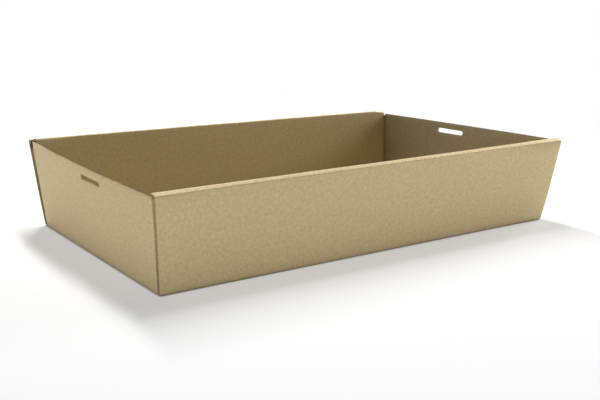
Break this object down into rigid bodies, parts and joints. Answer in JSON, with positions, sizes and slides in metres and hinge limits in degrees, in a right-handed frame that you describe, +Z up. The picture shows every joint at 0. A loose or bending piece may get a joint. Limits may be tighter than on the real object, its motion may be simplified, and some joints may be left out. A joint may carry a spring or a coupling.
{
  "type": "cardboard tray box",
  "caption": "Open rectangular tray for goods or food, folded from kraft board, with flared walls, rolled rims along its long sides and a round-ended slot in each end wall.",
  "frame": {"origin": "middle of the base's underside, on the surface that the tray stands on", "axes": "+X along the long walls, +Y across the tray towards its back long wall, +Z up"},
  "size_m": [0.4496, 0.2738, 0.085],
  "materials": {
    "kraft_board": "matt"
  },
  "bodies": {
    "root": {"folded_tray": "kraft_board"}
  },
  "joints": []
}
